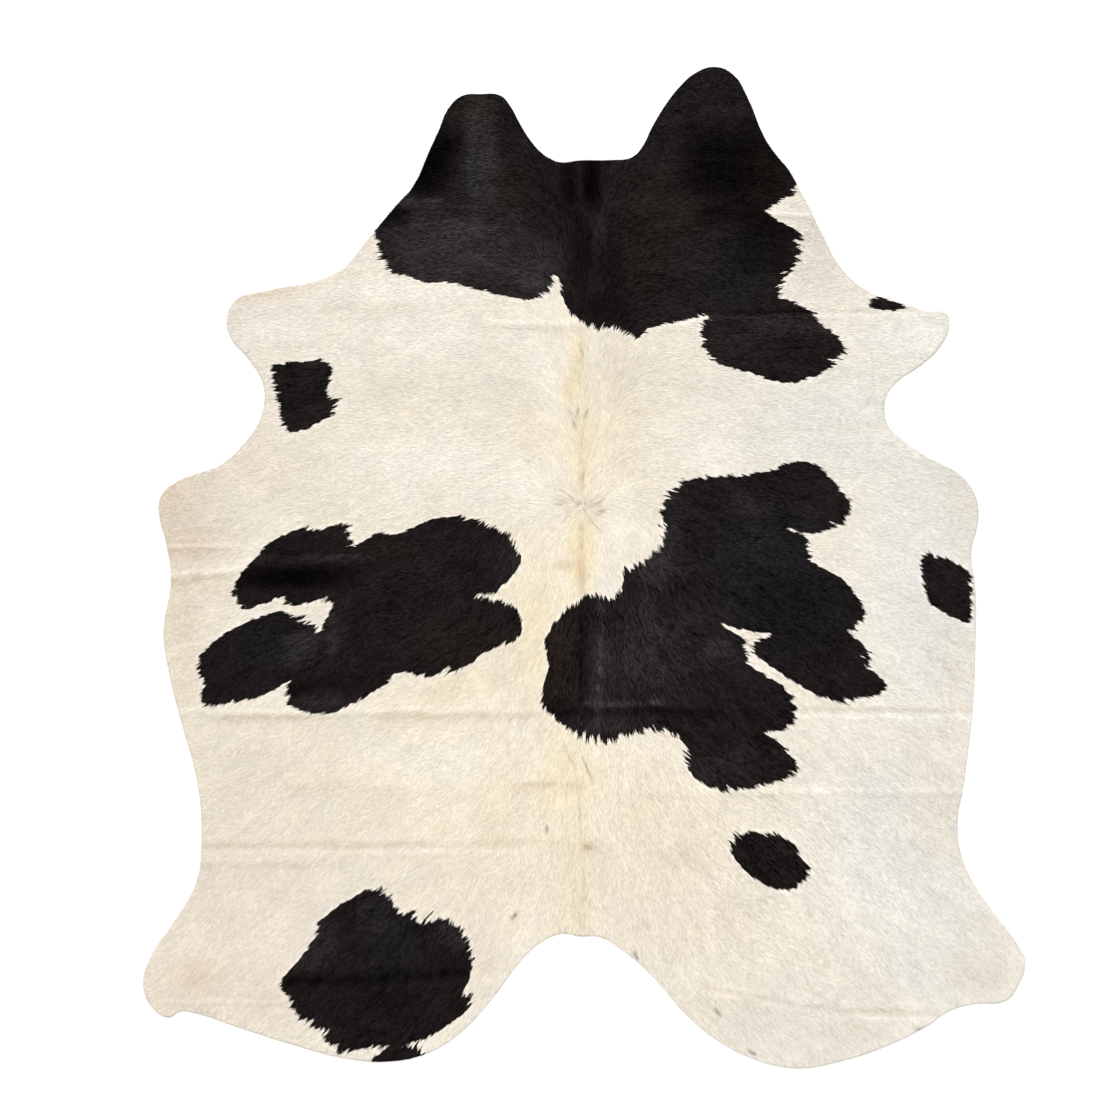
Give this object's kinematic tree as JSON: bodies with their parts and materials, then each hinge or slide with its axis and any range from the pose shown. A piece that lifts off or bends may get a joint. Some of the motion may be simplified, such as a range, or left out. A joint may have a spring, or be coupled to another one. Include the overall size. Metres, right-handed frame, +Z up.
{
  "type": "cowhide rug",
  "caption": "Flat hair-on cowhide rug, trimmed to the hide's own outline, with soft fold lines and black patches on a cream coat.",
  "frame": {"origin": "on the floor, under the middle of the hide's bounding box", "axes": "+X to the right and +Y towards the head end, along the spine, with the hide seen from above, +Z up from the floor"},
  "size_m": [1.94, 2.202, 0.0117],
  "materials": {
    "cream_coat": "short off-white hair lying flat, soft sheen",
    "black_coat": "short black hair lying flat, brown and grey sheen",
    "flesh_side": "matt suede on the underside and the cut edge"
  },
  "bodies": {
    "root": {"hide": "cream_coat"}
  },
  "joints": []
}
